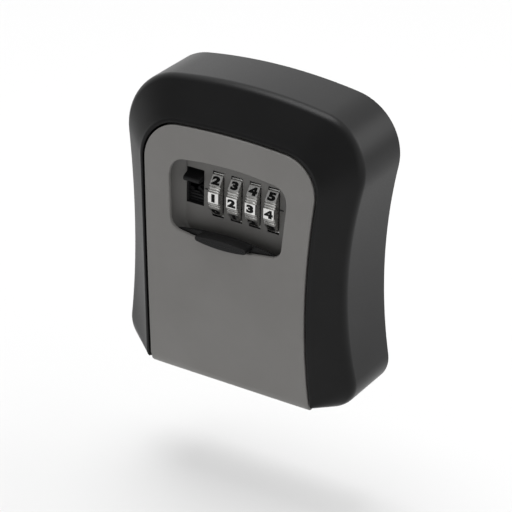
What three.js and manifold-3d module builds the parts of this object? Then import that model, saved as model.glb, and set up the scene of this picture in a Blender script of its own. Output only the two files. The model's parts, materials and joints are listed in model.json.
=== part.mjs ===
// Wall-mounted key lock box with a four-dial combination lock in a drop-down front door.
// Millimetres. +Z is up, the door faces -Y, and the flat back lies in the plane Y = 0. Heights are
// counted from the lowest edge; the finished group is then lowered so its origin is mid-height.
import * as THREE from "three";
import { mergeVertices } from "three/addons/utils/BufferGeometryUtils.js";
import Module from "manifold-3d";

const wasm = await Module();
wasm.setup();

// ---------- driving dimensions ----------
const MID_Z = 60; // height of the crown's highest line, above the lowest edge
const BASE_DEPTH = 33.5; // wall to front face, at the very top and bottom
const CROWN_RISE = 5; // how far the front face bows out at mid height
const CROWN_R = (MID_Z ** 2 + CROWN_RISE ** 2) / (2 * CROWN_RISE);
const CROWN_Y = CROWN_R - BASE_DEPTH - CROWN_RISE; // axis of the crown, far behind the wall

// Waisted outlines seen from the front. topR, sideR and bottomR are the radii of the long arcs.
const BODY = {
  top: 120, topR: 211, waistX: 45.6, waistZ: 53.3, sideR: 211,
  bottom: 0, bottomR: 480, topCorner: 21, bottomCorner: 11.8,
};
const DOOR = {
  top: 104.5, topR: 272, waistX: 33.6, waistZ: 38, sideR: 585,
  bottom: 0.3, bottomR: 462, topCorner: 14.3, bottomCorner: 0.8,
};
const FIT = 0.3; // gap between neighbouring parts
const DOOR_GAP = 0.8; // gap between the door and the frame round it
const RUN = 0.1; // radial clearance of a turning fit

const SHELL_WALL = 2.2;
const SHOULDER_DEPTH = 9.4; // depth lost between the lip round the door and the side wall's edge
const SHOULDER_R = 4;
const BAND = 13.9; // width of the sloping band, at the top
const LIP = 1.2; // flat rim round the door opening
const FLANGE = 1.8; // return wall behind that rim
const TRAY_FRONT = 24; // depth of the tray's walls
const TRAY_WALL = 2;
const PLATE = 2.5; // back plate thickness

const HINGE_R = 6.8; // rounded foot of the door, concentric with the hinge pins
const HINGE_Z = HINGE_R + DOOR.bottom;
const HINGE_Y = -(frontDepth(HINGE_Z) - HINGE_R);
const PIN_R = 1.5;
const PIN_INNER = 30;
const PIN_OUTER = 39.5;

const SKIN = 1.4; // door skin over the shutter
const DOOR_WALL = 1.8; // door's side walls
const SHUTTER_GAP = 0.25;
const SHUTTER_T = 0.9;
const SHUTTER_HALF = 25.8;
const SHUTTER_TOP = 65.6; // crest of its arched upper edge
const SHUTTER_ARCH_R = 105;
const SHUTTER_LENGTH = 30;
const CASE_FACE = SKIN + SHUTTER_GAP + SHUTTER_T + FIT; // depth of the lock case's front face

// Window in the door, and the tab that runs in it.
const WINDOW = { half: 24.75, taper: 1.3, top: 92.75, low: 63.4, bottom: 61.6, corner: 7.5 };
const TAB = { half: 10.9, bottom: 62.05, top: 65.5, proud: 3 };

const DIAL_COUNT = 4;
const DIAL_PITCH = 7.82;
const DIAL_X = -7.22; // first dial
const DIAL_Z = 78.4;
const DIAL_R = 10.65; // to the flat that carries a digit
const DIAL_DEPTH = 2.85; // front of a dial below the door's front surface
const DIAL_Y = -(frontDepth(DIAL_Z) - DIAL_DEPTH - DIAL_R);
const DIAL_W = 4.4;
const SLOT_W = 4.9;
const SLOT_HALF = 9.1; // half the height of a dial's slot
const FACES = 10;
const FACE_SHARE = 0.62; // share of each tenth that is the flat, the rest is ribs
const RIB_DROP = 0.55;
const RIBS = [0.36, 0.4, 0.46, 0.5, 0.54, 0.6, 0.64]; // turns of each rib's corners, in tenths
const SLEEVE_R = 4.6;
const SLEEVE_W = 2.9;
const GATE_W = 2.6;
const GATE_FLOOR = 2.3; // bottom of a gate, above the spindle's axis
const SPINDLE_R = 1.5;
const BEARING_X = -11.6; // inner bearing of the spindle, between the slide and the first dial

// The pocket round the dials, the scoop under them, and the case that holds them.
const POCKET = { half: 25.5, bottom: 60.4, top: 95.4, corner: 7.5, roll: 4.9 };
const SCOOP = { top: 68.5, r: 173, tilt: Math.atan(0.25) };
const DISH_FLOOR = 6.55; // below the door's front surface at the dials' height
const FLOOR_Y = -(frontDepth(DIAL_Z) - DISH_FLOOR);
const CASE = { half: 26, bottom: 65.2, top: 97.2, back: 11.6, wall: 2, apron: 35.2 };
const COVER_T = 2;
const RELEASE = { x: -17.05, half: 3.7, top: 86.4, bottom: 72.1, travel: 4.5 };
const SLIDE = { half: 4.5, bottom: 71, top: 91.4, set: 1.9, thick: 1.6, stemLow: 82, stemHigh: 85 };
const BOLT = { half: 3.1, front: -23.6, back: -20.8, bottom: 76.9, top: 107.9 };
const FENCE = { low: 82.7, high: 89.7, thick: 1.2 };
const RESET = { x: 8, z: 74.3, travel: 5 };

const SCREW_R = 1.4; // four screws hold the lock case in the door
const SCREW_POST = 2.6;
const SCREW_PLACES = [[-28.8, 62], [28.8, 62], [-28.8, 93.5], [28.8, 93.5]];
const TRAY_SCREW_R = 1.5; // four screws hold the back plate in the shell
const TRAY_SCREW_PLACES = [[-41.5, 18], [41.5, 18], [-27, 111.4], [27, 111.4]];
const WALL_HOLE_PLACES = [[-22, 92], [22, 92], [-22, 22], [22, 22]];
const HOOK = { z: 97, reach: 7.8, r: 1.15, nose: 4.4 };

const ROUND = 16; // sides of a small cylinder
const ARC_STEPS = 4; // half the segments of an outline's arc

// ---------- helpers: solids ----------
function frontDepth(z, inset = 0) {
  const r = CROWN_R - inset;
  return Math.sqrt(r ** 2 - (z - MID_Z) ** 2) - CROWN_Y;
}

function solid(geometry) {
  const bare = geometry.clone();
  bare.deleteAttribute("normal");
  bare.deleteAttribute("uv");
  const merged = mergeVertices(bare, 1e-4);
  const vertProperties = new Float32Array(merged.attributes.position.array);
  const triVerts = new Uint32Array(merged.index.array);
  return new wasm.Manifold(new wasm.Mesh({ numProp: 3, vertProperties, triVerts }));
}

function join(...solids) {
  return solids.reduce((whole, piece) => whole.add(piece));
}

function cut(whole, ...pieces) {
  return pieces.reduce((left, piece) => left.subtract(piece), whole);
}

// A front-view outline (x, z) pushed from the depth yBack forward to yFront.
function prism(shape, yBack, yFront) {
  const geometry = new THREE.ExtrudeGeometry(shape, {
    depth: yBack - yFront, bevelEnabled: false, curveSegments: ARC_STEPS,
  });
  return solid(geometry.rotateX(Math.PI / 2).translate(0, yBack, 0));
}

// A side-view outline (y, z) pushed from xLeft to xRight.
function sideways(shape, xLeft, xRight, curveSegments = 12) {
  const geometry = new THREE.ExtrudeGeometry(shape, {
    depth: xRight - xLeft, bevelEnabled: false, curveSegments,
  });
  const turn = new THREE.Matrix4().makeBasis(
    new THREE.Vector3(0, 1, 0), new THREE.Vector3(0, 0, 1), new THREE.Vector3(1, 0, 0),
  );
  return solid(geometry.applyMatrix4(turn).translate(xLeft, 0, 0));
}

function box(x0, x1, y0, y1, z0, z1) {
  const geometry = new THREE.BoxGeometry(x1 - x0, y1 - y0, z1 - z0);
  return solid(geometry.translate((x0 + x1) / 2, (y0 + y1) / 2, (z0 + z1) / 2));
}

function rodX(r, x0, x1, y, z, sides = ROUND) {
  const geometry = new THREE.CylinderGeometry(r, r, x1 - x0, sides);
  return solid(geometry.rotateZ(-Math.PI / 2).translate((x0 + x1) / 2, y, z));
}

function rodY(r, y0, y1, x, z, sides = ROUND, rFront = r) {
  const geometry = new THREE.CylinderGeometry(r, rFront, y1 - y0, sides);
  return solid(geometry.translate(x, (y0 + y1) / 2, z));
}

// Skins a solid over rings of equal point count and closes both ends.
function loft(rings) {
  const count = rings[0].length;
  const positions = rings.flat().flatMap((p) => [p.x, p.y, p.z]);
  const faces = [];
  for (let r = 0; r < rings.length - 1; r++) {
    for (let i = 0; i < count; i++) {
      const a = r * count + i;
      const b = r * count + ((i + 1) % count);
      faces.push(a, b, a + count, b, b + count, a + count);
    }
  }
  const flat = (ring) => ring.map((p) => new THREE.Vector2(p.x, p.z));
  const lastStart = (rings.length - 1) * count;
  for (const [a, b, c] of THREE.ShapeUtils.triangulateShape(flat(rings[0]), [])) {
    faces.push(c, b, a);
  }
  for (const [a, b, c] of THREE.ShapeUtils.triangulateShape(flat(rings.at(-1)), [])) {
    faces.push(lastStart + a, lastStart + b, lastStart + c);
  }
  const geometry = new THREE.BufferGeometry();
  geometry.setAttribute("position", new THREE.Float32BufferAttribute(positions, 3));
  geometry.setIndex(faces);
  return solid(geometry);
}

// ---------- helpers: outlines ----------
// Centre of the corner arc of radius r that touches a long arc from inside and a side arc from outside.
function cornerCentre(longZ, longR, sideX, sideZ, sideR, r, up) {
  const reach = Math.hypot(sideX, sideZ - longZ);
  const a = ((longR - r) ** 2 - (sideR + r) ** 2 + reach ** 2) / (2 * reach);
  const h = Math.sqrt((longR - r) ** 2 - a ** 2);
  const ux = sideX / reach;
  const uz = (sideZ - longZ) / reach;
  return new THREE.Vector2(a * ux - up * h * uz, longZ + a * uz + up * h * ux);
}

function waisted(o) {
  const topZ = o.top - o.topR;
  const lowZ = o.bottom + o.bottomR;
  const sideX = o.waistX + o.sideR;
  const high = cornerCentre(topZ, o.topR, sideX, o.waistZ, o.sideR, o.topCorner, 1);
  const low = cornerCentre(lowZ, o.bottomR, sideX, o.waistZ, o.sideR, o.bottomCorner, -1);
  const highLong = Math.atan2(high.y - topZ, high.x);
  const highSide = Math.atan2(o.waistZ - high.y, sideX - high.x);
  const lowLong = Math.atan2(low.y - lowZ, low.x);
  const lowSide = Math.atan2(o.waistZ - low.y, sideX - low.x);
  const shape = new THREE.Shape();
  shape.absarc(0, lowZ, o.bottomR, -Math.PI - lowLong, lowLong, false);
  shape.absarc(low.x, low.y, o.bottomCorner, lowLong, lowSide, false);
  shape.absarc(sideX, o.waistZ, o.sideR, lowSide + Math.PI, highSide + Math.PI, true);
  shape.absarc(high.x, high.y, o.topCorner, highSide, highLong, false);
  shape.absarc(0, topZ, o.topR, highLong, Math.PI - highLong, false);
  shape.absarc(-high.x, high.y, o.topCorner, Math.PI - highLong, Math.PI - highSide, false);
  shape.absarc(-sideX, o.waistZ, o.sideR, -highSide, -lowSide, true);
  shape.absarc(-low.x, low.y, o.bottomCorner, Math.PI - lowSide, Math.PI - lowLong, false);
  return shape;
}

function inset(o, d) {
  return {
    ...o, top: o.top - d, topR: o.topR - d, waistX: o.waistX - d, sideR: o.sideR + d,
    bottom: o.bottom + d, bottomR: o.bottomR - d,
    topCorner: Math.max(o.topCorner - d, 0.5), bottomCorner: Math.max(o.bottomCorner - d, 0.5),
  };
}

// Rectangle with round corners and a width that can change from bottom to top.
function roundRect(halfLow, halfHigh, z0, z1, r) {
  const shape = new THREE.Shape();
  shape.absarc(halfLow - r, z0 + r, r, -Math.PI / 2, 0, false);
  shape.absarc(halfHigh - r, z1 - r, r, 0, Math.PI / 2, false);
  shape.absarc(r - halfHigh, z1 - r, r, Math.PI / 2, Math.PI, false);
  shape.absarc(r - halfLow, z0 + r, r, Math.PI, 1.5 * Math.PI, false);
  return shape;
}

const OPENING = inset(DOOR, -DOOR_GAP);

// Side view of everything behind the crowned front, inset below it, between two heights.
function crownBlock(depthInset, yBack, z0, z1, half) {
  const r = CROWN_R - depthInset;
  const low = Math.PI + Math.asin((MID_Z - z0) / r);
  const high = Math.PI - Math.asin((z1 - MID_Z) / r);
  const shape = new THREE.Shape();
  shape.moveTo(yBack, z1);
  shape.lineTo(yBack, z0);
  shape.absarc(CROWN_Y, MID_Z, r, low, high, true);
  return sideways(shape, -half, half, 8);
}

function ringAt(points, depthBelowCrown) {
  return points.map((p) => new THREE.Vector3(p.x, -(frontDepth(p.y) - depthBelowCrown), p.y));
}

// ---------- housing ----------
// Rings of the outer surface, from the wall to the lip. skin moves them inward for the hollow.
function housingRings(skin) {
  const outer = waisted(inset(BODY, skin)).getPoints(ARC_STEPS);
  const rim = waisted({ ...inset(OPENING, -FLANGE * Math.sign(skin)), bottom: 2.2 + skin })
    .getPoints(ARC_STEPS);
  const slope = Math.atan2(SHOULDER_DEPTH, BAND - LIP);
  const turn = Math.PI / 2 - slope;
  const start = SHOULDER_DEPTH + SHOULDER_R * Math.tan(turn / 2);
  const between = (share, depth) => {
    const ring = outer.map((p, i) => p.clone().lerp(rim[i], share));
    return ringAt(ring, depth + skin * 1.1);
  };
  const rings = [outer.map((p) => new THREE.Vector3(p.x, skin ? 1 : 0, p.y))];
  const fillet = 3;
  for (let k = 0; k <= fillet; k++) {
    const a = (turn * k) / fillet;
    const across = SHOULDER_R * (1 - Math.cos(a));
    rings.push(between(across / BAND, start - SHOULDER_R * Math.sin(a)));
  }
  rings.push(between(1 - (LIP + 0.6) / BAND, 0.9));
  rings.push(between(1 - LIP / BAND, 0.2));
  rings.push(between(1, 0.2));
  return rings;
}

function doorSwingSpace() {
  const low = waisted({ ...OPENING, bottom: -4 });
  const sweep = join(
    rodX(HINGE_R + 0.5, -40, 40, HINGE_Y, HINGE_Z, 40),
    box(-40, 40, -60, HINGE_Y, -5, HINGE_Z),
  );
  return prism(low, 0, -60).intersect(sweep);
}

function bodyShell() {
  const outside = loft(housingRings(0));
  const hollow = loft(housingRings(SHELL_WALL));
  const flange = prism(waisted(inset(OPENING, -FLANGE)), -TRAY_FRONT - FIT, -60);
  const opening = prism(waisted({ ...OPENING, bottom: 3.8 }), 1, -60);
  let shell = cut(outside, cut(hollow, flange), opening);
  for (const side of [-1, 1]) {
    const x0 = Math.min(side * 35, side * (PIN_OUTER + 1));
    const x1 = Math.max(side * 35, side * (PIN_OUTER + 1));
    shell = shell.add(rodX(3.4, x0, x1, HINGE_Y, HINGE_Z).intersect(outside));
  }
  for (const [x, z] of TRAY_SCREW_PLACES) {
    const boss = rodY(3.4, -BASE_DEPTH, -PLATE - FIT, x, z).intersect(outside);
    shell = cut(shell.add(boss), rodY(TRAY_SCREW_R + RUN, -14, 0, x, z));
  }
  const pins = rodX(PIN_R + RUN, -PIN_OUTER, PIN_OUTER, HINGE_Y, HINGE_Z);
  return cut(shell, doorSwingSpace(), pins);
}

function rearTray() {
  const inner = { ...OPENING, bottom: 5.6, bottomCorner: 3 };
  const outer = inset(inner, -TRAY_WALL);
  const plate = prism(waisted(inset(BODY, SHELL_WALL + FIT)), 0, -PLATE);
  const walls = prism(waisted(outer), -PLATE + 0.5, -TRAY_FRONT);
  let tray = cut(join(plate, walls), prism(waisted(inner), -PLATE, -60), doorSwingSpace());
  const keeper = box(RELEASE.x - 4.3, RELEASE.x + 4.3, -TRAY_FRONT - 1, -19.6, 100, 109);
  tray = cut(tray, keeper);
  for (const [x, z] of WALL_HOLE_PLACES) {
    tray = cut(tray, rodY(2.6, -10, 1, x, z), rodY(5, -PLATE - 1, -PLATE + 1, x, z));
  }
  for (const [x, z] of TRAY_SCREW_PLACES) {
    tray = cut(tray, rodY(TRAY_SCREW_R + RUN, -10, 1, x, z), rodY(3.1, -1.5, 1, x, z));
  }
  return cut(tray, rodY(HOOK.r + RUN, -PLATE - 1, 1, 0, HOOK.z));
}

// Steel peg hook riveted in the back plate: a stem that ends in an upturned nose.
function keyHook() {
  const stem = rodY(HOOK.r, -HOOK.reach, 0, 0, HOOK.z, 12);
  const collar = rodY(2.4, -PLATE - FIT - 0.8, -PLATE - FIT, 0, HOOK.z, 16);
  const nose = new THREE.CylinderGeometry(HOOK.r, HOOK.r, HOOK.nose, 12).rotateX(Math.PI / 2);
  return join(stem, collar, solid(nose.translate(0, -HOOK.reach, HOOK.z + 1.2)));
}

function trayScrewBody() {
  const head = rodY(2.8, -1.4, -0.1, 0, 0);
  const shank = rodY(TRAY_SCREW_R, -12, -1.3, 0, 0, 12);
  const driver = join(box(-1.5, 1.5, -0.8, 1, -0.35, 0.35), box(-0.35, 0.35, -0.8, 1, -1.5, 1.5));
  return cut(join(head, shank), driver);
}

function hingePin() {
  return rodX(PIN_R, PIN_INNER, PIN_OUTER - 0.2, 0, 0);
}

// ---------- door ----------
function windowShape(grow = 0) {
  const w = WINDOW;
  const lowHalf = w.half - w.taper + grow;
  const highHalf = w.half + grow;
  const r = w.corner + grow;
  const crest = w.top + grow;
  const shape = new THREE.Shape();
  shape.moveTo(-lowHalf + 3.4, w.low - grow);
  shape.quadraticCurveTo(0, 2 * (w.bottom - grow) - w.low, lowHalf - 3.4, w.low - grow);
  shape.quadraticCurveTo(lowHalf, w.low + 1.1, lowHalf + 0.2, w.low + 4.5);
  shape.lineTo(highHalf, crest - 1.4 - r);
  shape.quadraticCurveTo(highHalf, crest - 1.4, highHalf - r, crest - 1.2);
  shape.quadraticCurveTo(0, crest + 1, r - highHalf, crest - 1.2);
  shape.quadraticCurveTo(-highHalf, crest - 1.4, -highHalf, crest - 1.4 - r);
  shape.lineTo(-lowHalf - 0.2, w.low + 4.5);
  shape.quadraticCurveTo(-lowHalf, w.low + 1.1, -lowHalf + 3.4, w.low - grow);
  return shape;
}

// Side view of the door's envelope: crowned front, round foot about the hinge, open back.
function doorProfile(depthInset, yBack, z1) {
  const r = CROWN_R - depthInset;
  const shape = new THREE.Shape();
  const high = Math.PI - Math.asin((z1 - MID_Z) / r);
  const low = Math.PI + Math.asin((MID_Z - HINGE_Z) / r);
  shape.moveTo(yBack, z1);
  shape.lineTo(yBack, HINGE_Z);
  if (yBack > HINGE_Y) shape.lineTo(HINGE_Y + HINGE_R - depthInset, HINGE_Z);
  shape.absarc(HINGE_Y, HINGE_Z, HINGE_R - depthInset, 0, -Math.PI + 0.16, true);
  shape.absarc(CROWN_Y, MID_Z, r, low, high, true);
  return sideways(shape, -50, 50, 10);
}

function doorSkin() {
  const back = -26.4;
  const outline = prism(waisted(DOOR), 0, -60);
  const inner = prism(waisted({ ...inset(DOOR, DOOR_WALL), bottom: -3 }), 0, -60);
  let skin = outline.intersect(doorProfile(0, back, 110));
  const hollow = inner.intersect(doorProfile(SKIN, back + 3, 110));
  skin = cut(skin, hollow);
  const footTrim = box(-50, 50, HINGE_Y + 1.5, 0, -1, HINGE_Z - 0.2);
  skin = cut(skin, footTrim);
  for (const side of [-1, 1]) {
    const lug = rodX(3.4, side > 0 ? 27 : -33, side > 0 ? 33 : -27, HINGE_Y, HINGE_Z);
    const web = box(side > 0 ? 27 : -33, side > 0 ? 33 : -27, -36, HINGE_Y, 4, HINGE_Z + 3.4);
    const envelope = outline.intersect(doorProfile(0.2, back + 8, 110));
    skin = skin.add(join(lug, web).intersect(envelope));
  }
  for (const [x, z] of SCREW_PLACES) {
    const post = rodY(SCREW_POST, -38, -30.5, x, z);
    skin = skin.add(post.intersect(outline.intersect(doorProfile(0.2, -20, 110))));
    skin = cut(skin, rodY(SCREW_R + RUN, -34.5, -20, x, z));
  }
  const pins = rodX(PIN_R + RUN, -40, 40, HINGE_Y, HINGE_Z);
  return cut(skin, prism(windowShape(), 0, -60), pins);
}

// Front view of the shutter: straight sides and an arched upper edge.
function shutterShape() {
  const spread = Math.asin(SHUTTER_HALF / SHUTTER_ARCH_R);
  const shape = new THREE.Shape();
  shape.moveTo(-SHUTTER_HALF, SHUTTER_TOP - SHUTTER_LENGTH);
  shape.lineTo(SHUTTER_HALF, SHUTTER_TOP - SHUTTER_LENGTH);
  shape.absarc(0, SHUTTER_TOP - SHUTTER_ARCH_R, SHUTTER_ARCH_R, Math.PI / 2 - spread, Math.PI / 2 + spread);
  return shape;
}

// Front view of the finger tab: bowed above and below, with round ends.
function tabShape() {
  const t = TAB;
  const end = t.half - 1.2;
  const shape = new THREE.Shape();
  shape.moveTo(-end, t.bottom + 0.8);
  shape.quadraticCurveTo(0, t.bottom - 0.8, end, t.bottom + 0.8);
  shape.quadraticCurveTo(t.half, t.bottom + 0.9, t.half, t.bottom + 2);
  shape.quadraticCurveTo(t.half, t.top - 0.6, end, t.top - 0.5);
  shape.quadraticCurveTo(0, t.top + 0.5, -end, t.top - 0.5);
  shape.quadraticCurveTo(-t.half, t.top - 0.6, -t.half, t.bottom + 2);
  shape.quadraticCurveTo(-t.half, t.bottom + 0.9, -end, t.bottom + 0.8);
  return shape;
}

// Curved cover that slides up over the dials on the door's crown, with its finger tab.
function shutter() {
  const depth = SKIN + SHUTTER_GAP;
  const band = cut(crownBlock(depth, -20, 20, 80, 60), crownBlock(depth + SHUTTER_T, -20, 10, 90, 61));
  const root = crownBlock(depth + SHUTTER_T / 2, -20, 50, 80, 60);
  const reach = cut(crownBlock(-TAB.proud, -20, 50, 80, 60), root);
  return join(
    band.intersect(prism(shutterShape(), 0, -60)),
    reach.intersect(prism(tabShape(), 0, -60)),
  );
}

// ---------- lock ----------
// Room in front of the dials: a flat floor with rolled sides, and a shallow scoop below the dials.
function pocketCut() {
  const steps = 4;
  const rings = [];
  for (let k = steps; k >= 0; k--) {
    const a = (k / steps) * (Math.PI / 2);
    const shrink = POCKET.roll * (1 - Math.cos(a));
    const depth = CASE_FACE + (DISH_FLOOR - CASE_FACE) * Math.sin(a);
    const half = POCKET.half - shrink;
    const outline = roundRect(half, half, POCKET.bottom, POCKET.top - shrink / 2, POCKET.corner);
    rings.push(ringAt(outline.getPoints(ARC_STEPS), k ? depth : CASE_FACE - 3));
  }
  const floor = rings[0].map((p) => new THREE.Vector3(p.x, FLOOR_Y, p.z));
  const scoop = new THREE.CylinderGeometry(SCOOP.r, SCOOP.r, 60, 144).rotateX(-SCOOP.tilt);
  const back = SCOOP.r * Math.cos(SCOOP.tilt);
  scoop.translate(0, FLOOR_Y - back, SCOOP.top - SCOOP.r * Math.sin(SCOOP.tilt));
  const reach = box(-POCKET.half + 2, POCKET.half - 2, -60, 0, POCKET.bottom, SCOOP.top + 1);
  return join(loft([floor, ...rings.slice(1)]), solid(scoop).intersect(reach));
}

function lockCase() {
  const c = CASE;
  const r = RELEASE;
  const brow = crownBlock(CASE_FACE, -28, POCKET.bottom - 1.4, c.bottom, c.half + 0.6);
  let whole = join(crownBlock(CASE_FACE, -c.back, c.bottom - 1.8, c.top, c.half + 0.6), brow);
  const rails = cut(
    crownBlock(SKIN + FIT, -26, c.apron, c.top, SHUTTER_HALF + 2.4),
    box(-SHUTTER_HALF - 0.3, SHUTTER_HALF + 0.3, -60, 0, 0, 120),
  );
  const apron = cut(
    crownBlock(CASE_FACE, -20, c.apron, POCKET.bottom, SHUTTER_HALF + 0.8),
    crownBlock(CASE_FACE + 1.5, -10, 20, c.bottom + 5, 60),
  );
  const railBacks = crownBlock(CASE_FACE + 1.5, -10, 20, c.bottom - 1.8, 60);
  whole = join(whole, cut(rails, railBacks), apron);
  for (const [x, z] of SCREW_PLACES) {
    whole = cut(whole, rodY(SCREW_POST + FIT, -60, -30.2, x, z));
  }
  for (const [x, z] of SCREW_PLACES) {
    const ear = rodY(SCREW_POST, -30.2, -c.back, x, z);
    const side = Math.sign(x);
    const [x0, x1] = [side * (c.half - 1), x].sort((a, b) => a - b);
    whole = join(whole, ear, box(x0, x1, -30.2, -c.back, z - 1.2, z + 1.2));
    if (z < c.bottom) {
      const [x2, x3] = [side * (c.half - 2), side * c.half].sort((a, b) => a - b);
      whole = whole.add(box(x2, x3, -32, -c.back, z - 1.2, c.bottom));
    }
  }
  const inside = c.half - c.wall;
  const hollow = join(
    box(-inside, inside, FLOOR_Y + 1.6, -c.back + 1, SCOOP.top, c.top - 2),
    box(-inside, inside, -29.3, -c.back + 1, c.bottom + 0.4, c.top - 2),
    box(r.x - 4.8, r.x + 4.8, FLOOR_Y + 1.6, -20, r.bottom - 6, c.top - 2),
  );
  const bearing = box(BEARING_X, BEARING_X + 1.4, FLOOR_Y + 1, -21, DIAL_Z - 5.2, DIAL_Z + 5.2);
  whole = join(cut(whole, pocketCut(), hollow), bearing);
  for (let i = 0; i < DIAL_COUNT; i++) {
    const x0 = DIAL_X + i * DIAL_PITCH - SLOT_W / 2;
    const slot = box(x0, x0 + SLOT_W, -60, FLOOR_Y + 3, DIAL_Z - SLOT_HALF, DIAL_Z + SLOT_HALF);
    whole = cut(whole, slot, rodX(DIAL_R + 0.6, x0, x0 + SLOT_W, DIAL_Y, DIAL_Z, 40));
  }
  whole = cut(
    whole,
    box(r.x - r.half, r.x + r.half, -60, FLOOR_Y + 3, r.bottom, r.top),
    box(r.x - 3.6, r.x + 3.6, BOLT.front - 0.4, BOLT.back + 0.4, c.top - 3, c.top + 1),
    rodX(SPINDLE_R + RUN, BEARING_X - 1, c.half - 0.8, DIAL_Y, DIAL_Z),
  );
  for (const [x, z] of SCREW_PLACES) {
    whole = cut(whole, rodY(SCREW_R + RUN, -40, 0, x, z));
  }
  return whole;
}

// Ten-sided dial: a flat for each digit and two ribs between neighbouring flats.
function dialWheel() {
  const points = [];
  const tenth = (2 * Math.PI) / FACES;
  const half = Math.tan((tenth * FACE_SHARE) / 2) * DIAL_R;
  const corner = Math.hypot(DIAL_R, half);
  const place = (angle, r) => {
    points.push(new THREE.Vector2(r * Math.cos(angle), r * Math.sin(angle)));
  };
  for (let i = 0; i < FACES; i++) {
    const middle = Math.PI + i * tenth;
    place(middle - (tenth * FACE_SHARE) / 2, corner);
    place(middle + (tenth * FACE_SHARE) / 2, corner);
    RIBS.forEach((share, k) => place(middle + tenth * share, DIAL_R + (k % 3 ? 0.06 : -RIB_DROP)));
  }
  const rim = sideways(new THREE.Shape(points), -DIAL_W / 2, DIAL_W / 2);
  return cut(rim, rodX(4, -DIAL_W, DIAL_W, 0, 0));
}

// Sleeve inside a dial: hub through the dial, and a disc beside it. The disc has one gate in line with
// a digit. The relief a quarter turn round has no part in the lock: it only keeps the drawn latch
// clear of dials that stand there, half way between two digits. A real sleeve need not have it.
function codeSleeve() {
  const hub = rodX(3.7, -DIAL_W / 2, DIAL_W / 2 + 0.3, 0, 0);
  const disc = rodX(SLEEVE_R, DIAL_W / 2 + 0.25, DIAL_W / 2 + 0.25 + SLEEVE_W, 0, 0, 32);
  const gate = box(DIAL_W / 2 + 0.1, 9, -GATE_W / 2, GATE_W / 2, GATE_FLOOR, SLEEVE_R + 1);
  const quarterTurnRelief = gate.rotate([-90, 0, 0]);
  return cut(join(hub, disc), gate, quarterTurnRelief, rodX(SPINDLE_R + RUN, -9, 9, 0, 0));
}

function dialSpindle() {
  return rodX(SPINDLE_R, BEARING_X + 0.2, CASE.half - 1, DIAL_Y, DIAL_Z);
}

// Comb of four leaf springs under the dials, bent towards the ribs.
function detentSpring() {
  const y = DIAL_Y;
  const z = DIAL_Z - DIAL_R;
  const last = DIAL_X + (DIAL_COUNT - 1) * DIAL_PITCH;
  let comb = box(DIAL_X - 2, last + 2, y + 8.4, y + 8.9, z - 1.2, z + 3);
  for (let i = 0; i < DIAL_COUNT; i++) {
    const x = DIAL_X + i * DIAL_PITCH;
    const leaf = new THREE.Shape();
    leaf.moveTo(y + 8.6, z - 1.1);
    leaf.lineTo(y + 1.2, z - 0.7);
    leaf.lineTo(y, z - 0.35);
    leaf.lineTo(y - 1.2, z - 0.7);
    leaf.lineTo(y - 1.2, z - 1.1);
    leaf.lineTo(y, z - 0.75);
    leaf.lineTo(y + 1.2, z - 1.1);
    leaf.lineTo(y + 8.6, z - 1.5);
    comb = comb.add(sideways(leaf, x - 1.5, x + 1.5));
  }
  return comb;
}

// Latch plate: bolt through the top, fence bar behind the dials, one finger over each sleeve.
function latchPlate() {
  const r = RELEASE;
  const fenceY = DIAL_Y + DIAL_R + 0.6;
  const barZ = DIAL_Z + SLEEVE_R + RELEASE.travel + FIT;
  const toothZ = DIAL_Z + GATE_FLOOR + RELEASE.travel + FIT;
  const last = DIAL_X + (DIAL_COUNT - 1) * DIAL_PITCH;
  const fenceBack = fenceY + FENCE.thick;
  const { half } = BOLT;
  let plate = join(
    box(r.x - half, r.x + half, BOLT.front, BOLT.back, BOLT.bottom, BOLT.top),
    box(r.x - half, r.x - 0.6, BOLT.back - 0.5, fenceBack, FENCE.low, FENCE.high),
    box(r.x - half, last + 5.2, fenceY, fenceBack, FENCE.low, FENCE.high),
  );
  for (let i = 0; i < DIAL_COUNT; i++) {
    const x = DIAL_X + i * DIAL_PITCH + DIAL_W / 2 + 0.25 + SLEEVE_W / 2;
    const arm = box(x - 0.7, x + 0.7, DIAL_Y - 0.9, fenceY + 0.5, barZ, barZ + 1.6);
    const tooth = box(x - 0.7, x + 0.7, DIAL_Y - 0.9, DIAL_Y + 0.9, toothZ, barZ + 0.5);
    plate = join(plate, arm, tooth);
  }
  const slant = new THREE.Shape();
  slant.moveTo(BOLT.back + 1, BOLT.top - 2.4);
  slant.lineTo(BOLT.back + 1, BOLT.top + 1);
  slant.lineTo(BOLT.front + 0.4, BOLT.top + 1);
  const bevel = sideways(slant, r.x - 5, r.x + 5);
  const stemHole = box(r.x - 1.6, r.x + 1.6, -30, 0, SLIDE.stemLow - RUN, SLIDE.stemHigh + RUN);
  return cut(plate, bevel, stemHole);
}

// Thumb slide: grooved plate behind the slot, ledge to pull on, and a stem pressed in the latch plate.
function releaseSlide() {
  const r = RELEASE;
  const s = SLIDE;
  const face = FLOOR_Y + s.set;
  let slide = box(r.x - s.half, r.x + s.half, face, face + s.thick, s.bottom, s.top);
  const grooves = 7;
  for (let k = 0; k < grooves; k++) {
    const z = r.bottom + 0.9 + k * 1.2;
    slide = cut(slide, box(r.x - 3.4, r.x + 3.4, face - 1, face + 0.5, z, z + 0.6));
  }
  const ledge = new THREE.Shape();
  ledge.moveTo(face + 0.5, 81.7);
  ledge.lineTo(FLOOR_Y - 3, 82);
  ledge.quadraticCurveTo(FLOOR_Y - 3.7, 82.9, FLOOR_Y - 3, 83.8);
  ledge.lineTo(face + 0.5, 86);
  slide = slide.add(sideways(ledge, r.x - 3.4, r.x + 3.4, 4));
  return slide.add(box(r.x - 1.5, r.x + 1.5, face + 1, BOLT.back - 0.2, s.stemLow, s.stemHigh));
}

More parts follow.
